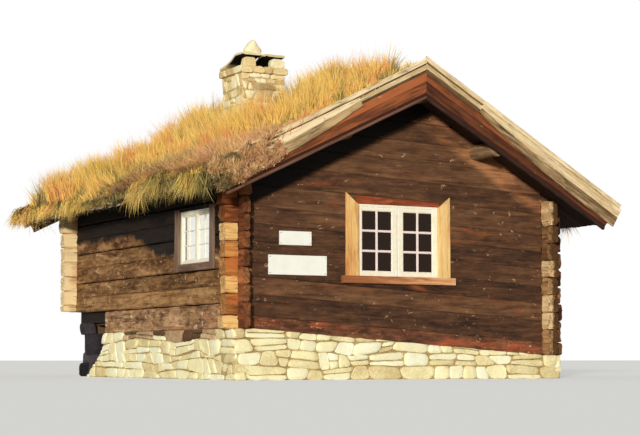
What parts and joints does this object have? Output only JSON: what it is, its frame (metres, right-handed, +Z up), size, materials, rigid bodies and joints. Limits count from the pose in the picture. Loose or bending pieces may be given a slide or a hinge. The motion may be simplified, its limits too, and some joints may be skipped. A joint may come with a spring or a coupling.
{
  "type": "turf-roofed log house",
  "caption": "Small log house with a turf roof, notched log corners, rubble chimney and dry stone foundation, a small-paned gable window and turf logs at the eaves.",
  "frame": {"origin": "on the ground under the middle of the house, which is the middle of its overall box", "axes": "+X to the right along the front gable, +Y from the front gable to the back gable, +Z up"},
  "size_m": [6.1066, 7.048, 4.773],
  "materials": {
    "rubble": "rough, uncoursed dry stone",
    "dark_stone": "rough, in shade",
    "chimney_stone": "rough rubble in lime mortar",
    "tarred_logs": "tarred, weathered, hewn",
    "weathered_logs": "weathered brown, hewn",
    "roof_timber": "weathered",
    "birch_bark": "papery bark",
    "turf": "turf with dry and green grass",
    "eave_timber": "grey, weathered",
    "bargeboard": "reddish brown tar, worn",
    "verge_plank": "pale grey, weathered",
    "white_paint": "painted, slightly yellowed",
    "window_glass": "clear",
    "honey_board": "oiled, honey coloured",
    "sill_board": "weathered",
    "plate_white": "matt white, bare",
    "door_wood": "weathered boards",
    "floor_wood": "bare boards"
  },
  "bodies": {
    "root": {"foundation_front": "rubble", "foundation_left": "rubble", "foundation_right": "rubble", "foundation_back": "rubble", "door_step": "rubble", "corner_stone": "dark_stone", "chimney_stack": "chimney_stone", "chimney_uprights": "chimney_stone", "chimney_slabs": "chimney_stone", "chimney_top_stone": "chimney_stone", "front_wall": "tarred_logs", "back_wall": "tarred_logs", "left_wall": "weathered_logs", "right_wall": "weathered_logs", "ridge_purlin": "roof_timber", "side_purlins": "roof_timber", "roof_boards_left": "roof_timber", "roof_boards_right": "roof_timber", "bark_left": "birch_bark", "bark_right": "birch_bark", "turf_left": "turf", "turf_right": "turf", "eave_log_left": "eave_timber", "eave_log_right": "eave_timber", "log_hooks": "eave_timber", "bargeboards_front": "bargeboard", "bargeboards_back": "bargeboard", "verge_planks_front": "verge_plank", "verge_planks_back": "verge_plank", "front_window_frame": "white_paint", "front_casements": "white_paint", "left_window_frame": "white_paint", "left_window_casing": "weathered_logs", "front_window_glass": "window_glass", "left_window_glass": "window_glass", "front_side_boards": "honey_board", "front_sill_board": "sill_board", "wall_plates": "plate_white", "door_leaf": "door_wood", "door_frame": "door_wood", "door_threshold": "door_wood", "floor_joists": "floor_wood", "floor_boards": "floor_wood"}
  },
  "joints": []
}
